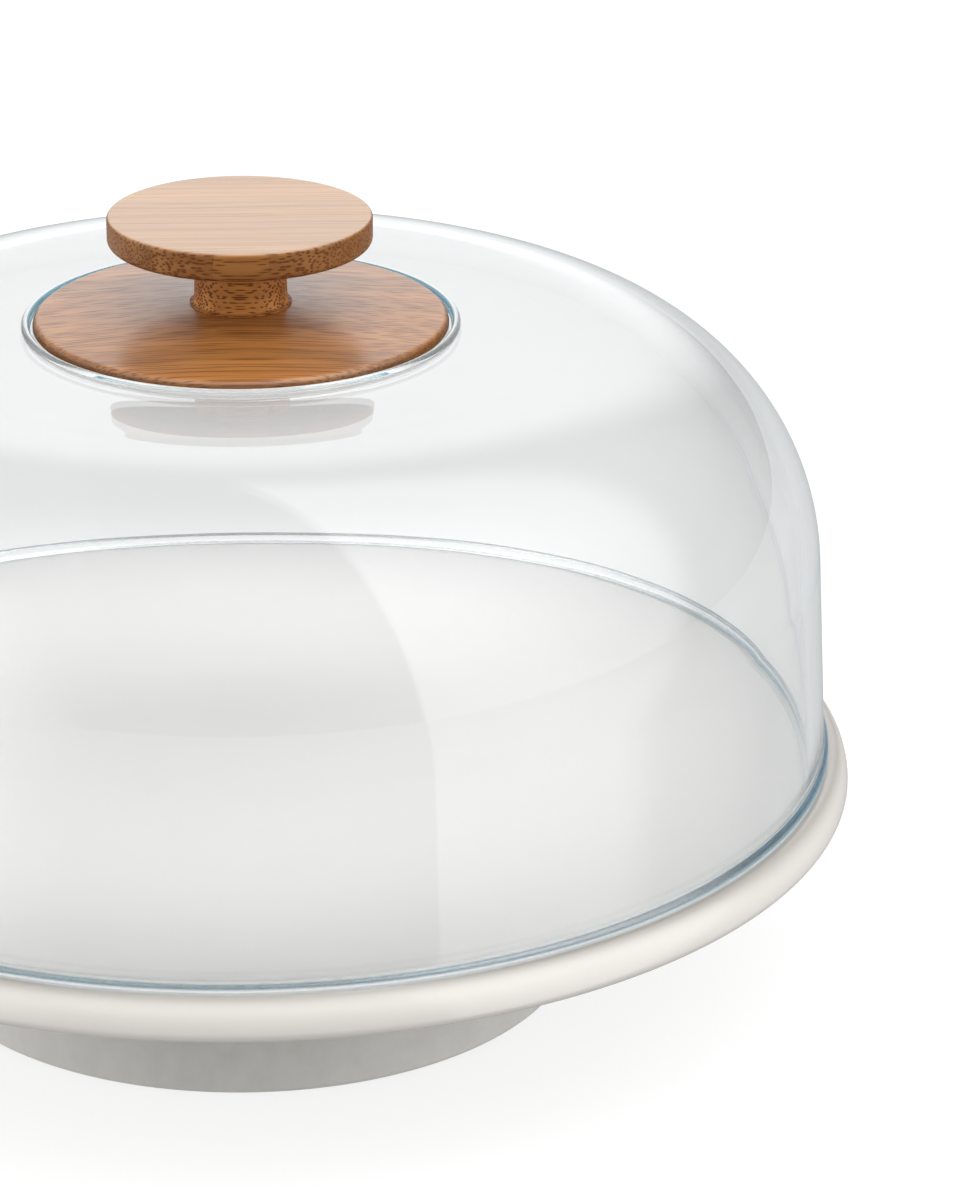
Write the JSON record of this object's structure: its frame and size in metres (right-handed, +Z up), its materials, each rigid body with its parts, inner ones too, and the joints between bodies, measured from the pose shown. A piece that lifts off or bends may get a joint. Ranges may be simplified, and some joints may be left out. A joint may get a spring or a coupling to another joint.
{
  "type": "cake stand dome",
  "caption": "Footed round serving plate with a lift-off clear glass dome and a turned wooden knob on top.",
  "frame": {"origin": "centre of the circle that the pads under the foot stand on", "axes": "+Z up along the stand's axis, through the knob; +X and +Y lie level, the bamboo's grain runs along X"},
  "size_m": [0.3104, 0.3104, 0.2013],
  "materials": {
    "plate_glaze": "glossy off-white glaze",
    "foot_ceramic": "satin off-white stoneware",
    "glass": "clear, polished, blue-green in the edge",
    "bamboo": "oiled laminated bamboo",
    "silicone": "translucent natural silicone",
    "steel": "stainless",
    "brass": "machined"
  },
  "bodies": {
    "stand": {"serving_plate": "plate_glaze", "pedestal_foot": "foot_ceramic", "foot_gasket": "silicone", "plate_insert": "brass", "foot_bush": "silicone", "foot_washer": "steel", "foot_screw": "steel", "foot_pads": "silicone"},
    "dome": {"glass_dome": "glass", "seat_gasket": "silicone", "knob_flange": "bamboo", "knob_neck": "bamboo", "knob_grip": "bamboo", "neck_insert": "brass", "inner_grommet": "silicone", "clamp_washer": "steel", "lock_washer": "steel", "knob_screw": "steel"}
  },
  "joints": [
    {"name": "dome_lift", "type": "slide", "parent": "stand", "child": "dome", "axis": [0, 0, 1], "range_m": [0, 0.2]}
  ]
}
